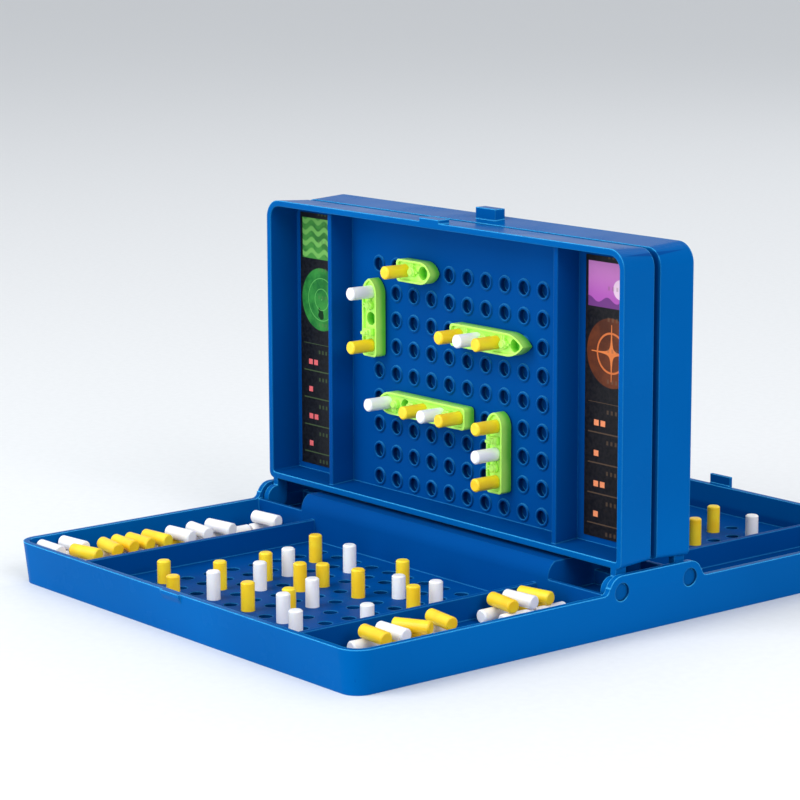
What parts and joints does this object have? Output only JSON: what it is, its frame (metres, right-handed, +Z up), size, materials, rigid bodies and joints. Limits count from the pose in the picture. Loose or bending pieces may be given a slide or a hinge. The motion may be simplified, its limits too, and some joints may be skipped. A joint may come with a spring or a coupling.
{
  "type": "fleet guessing case",
  "caption": "Folding two-player peg-board case: a long double tray with two hinged upright lids, peg grids, side bins, plug-in ships and hit and miss pegs.",
  "frame": {"origin": "middle of the underside of the double tray, on the ground", "axes": "+X along both hinge axes, -Y towards the front player, +Z up along the open lids"},
  "size_m": [0.197, 0.264, 0.1339],
  "materials": {
    "blue_plastic": "satin",
    "green_plastic": "satin",
    "yellow_plastic": "satin",
    "white_plastic": "satin",
    "printed_card": "semi-gloss"
  },
  "bodies": {
    "tray": {"double_tray": "blue_plastic"},
    "front_lid": {"front_lid": "blue_plastic", "front_left_card": "printed_card", "front_right_card": "printed_card"},
    "rear_lid": {"rear_lid": "blue_plastic", "rear_left_card": "printed_card", "rear_right_card": "printed_card"},
    "launch": {"launch": "green_plastic"},
    "launch_pegs": {"launch_yellow_peg": "yellow_plastic"},
    "rear_launch": {"rear_launch": "green_plastic"},
    "corvette": {"corvette": "green_plastic"},
    "corvette_pegs": {"corvette_white_peg": "white_plastic", "corvette_yellow_peg": "yellow_plastic"},
    "rear_corvette": {"rear_corvette": "green_plastic"},
    "cruiser": {"cruiser": "green_plastic"},
    "cruiser_pegs": {"cruiser_white_peg": "white_plastic", "cruiser_yellow_pegs": "yellow_plastic"},
    "rear_cruiser": {"rear_cruiser": "green_plastic"},
    "carrier": {"carrier": "green_plastic"},
    "carrier_pegs": {"carrier_white_pegs": "white_plastic", "carrier_yellow_pegs": "yellow_plastic"},
    "rear_carrier": {"rear_carrier": "green_plastic"},
    "frigate": {"frigate": "green_plastic"},
    "frigate_pegs": {"frigate_white_peg": "white_plastic", "frigate_yellow_pegs": "yellow_plastic"},
    "rear_frigate": {"rear_frigate": "green_plastic"},
    "front_tray_pegs": {"front_white_pegs": "white_plastic", "front_yellow_pegs": "yellow_plastic"},
    "rear_tray_pegs": {"rear_white_peg": "white_plastic", "rear_yellow_pegs": "yellow_plastic"},
    "left_bin_pegs": {"left_bin_white_pegs": "white_plastic", "left_bin_yellow_pegs": "yellow_plastic"},
    "right_bin_pegs": {"right_bin_white_pegs": "white_plastic", "right_bin_yellow_pegs": "yellow_plastic"}
  },
  "joints": [
    {"name": "front_lid_hinge", "type": "hinge", "parent": "tray", "child": "front_lid", "pos_m": [0, -0.016, 0.0155], "axis": [1, 0, 0], "range_deg": [0, 90]},
    {"name": "rear_lid_hinge", "type": "hinge", "parent": "tray", "child": "rear_lid", "pos_m": [0, 0.016, 0.0155], "axis": [-1, 0, 0], "range_deg": [0, 90]},
    {"name": "launch_pull", "type": "slide", "parent": "front_lid", "child": "launch", "axis": [0, 1, 0], "range_m": [-0.02, 0]},
    {"name": "launch_pegs_pull", "type": "slide", "parent": "launch", "child": "launch_pegs", "axis": [0, 1, 0], "range_m": [-0.012, 0]},
    {"name": "rear_launch_pull", "type": "slide", "parent": "rear_lid", "child": "rear_launch", "axis": [0, -1, 0], "range_m": [-0.02, 0]},
    {"name": "corvette_pull", "type": "slide", "parent": "front_lid", "child": "corvette", "axis": [0, 1, 0], "range_m": [-0.02, 0]},
    {"name": "corvette_pegs_pull", "type": "slide", "parent": "corvette", "child": "corvette_pegs", "axis": [0, 1, 0], "range_m": [-0.012, 0]},
    {"name": "rear_corvette_pull", "type": "slide", "parent": "rear_lid", "child": "rear_corvette", "axis": [0, -1, 0], "range_m": [-0.02, 0]},
    {"name": "cruiser_pull", "type": "slide", "parent": "front_lid", "child": "cruiser", "axis": [0, 1, 0], "range_m": [-0.02, 0]},
    {"name": "cruiser_pegs_pull", "type": "slide", "parent": "cruiser", "child": "cruiser_pegs", "axis": [0, 1, 0], "range_m": [-0.012, 0]},
    {"name": "rear_cruiser_pull", "type": "slide", "parent": "rear_lid", "child": "rear_cruiser", "axis": [0, -1, 0], "range_m": [-0.02, 0]},
    {"name": "carrier_pull", "type": "slide", "parent": "front_lid", "child": "carrier", "axis": [0, 1, 0], "range_m": [-0.02, 0]},
    {"name": "carrier_pegs_pull", "type": "slide", "parent": "carrier", "child": "carrier_pegs", "axis": [0, 1, 0], "range_m": [-0.012, 0]},
    {"name": "rear_carrier_pull", "type": "slide", "parent": "rear_lid", "child": "rear_carrier", "axis": [0, -1, 0], "range_m": [-0.02, 0]},
    {"name": "frigate_pull", "type": "slide", "parent": "front_lid", "child": "frigate", "axis": [0, 1, 0], "range_m": [-0.02, 0]},
    {"name": "frigate_pegs_pull", "type": "slide", "parent": "frigate", "child": "frigate_pegs", "axis": [0, 1, 0], "range_m": [-0.012, 0]},
    {"name": "rear_frigate_pull", "type": "slide", "parent": "rear_lid", "child": "rear_frigate", "axis": [0, -1, 0], "range_m": [-0.02, 0]},
    {"name": "front_tray_pegs_lift", "type": "slide", "parent": "tray", "child": "front_tray_pegs", "axis": [0, 0, -1], "range_m": [-0.02, 0]},
    {"name": "rear_tray_pegs_lift", "type": "slide", "parent": "tray", "child": "rear_tray_pegs", "axis": [0, 0, -1], "range_m": [-0.02, 0]},
    {"name": "left_bin_pegs_lift", "type": "slide", "parent": "tray", "child": "left_bin_pegs", "axis": [0, 0, -1], "range_m": [-0.02, 0]},
    {"name": "right_bin_pegs_lift", "type": "slide", "parent": "tray", "child": "right_bin_pegs", "axis": [0, 0, -1], "range_m": [-0.02, 0]}
  ]
}
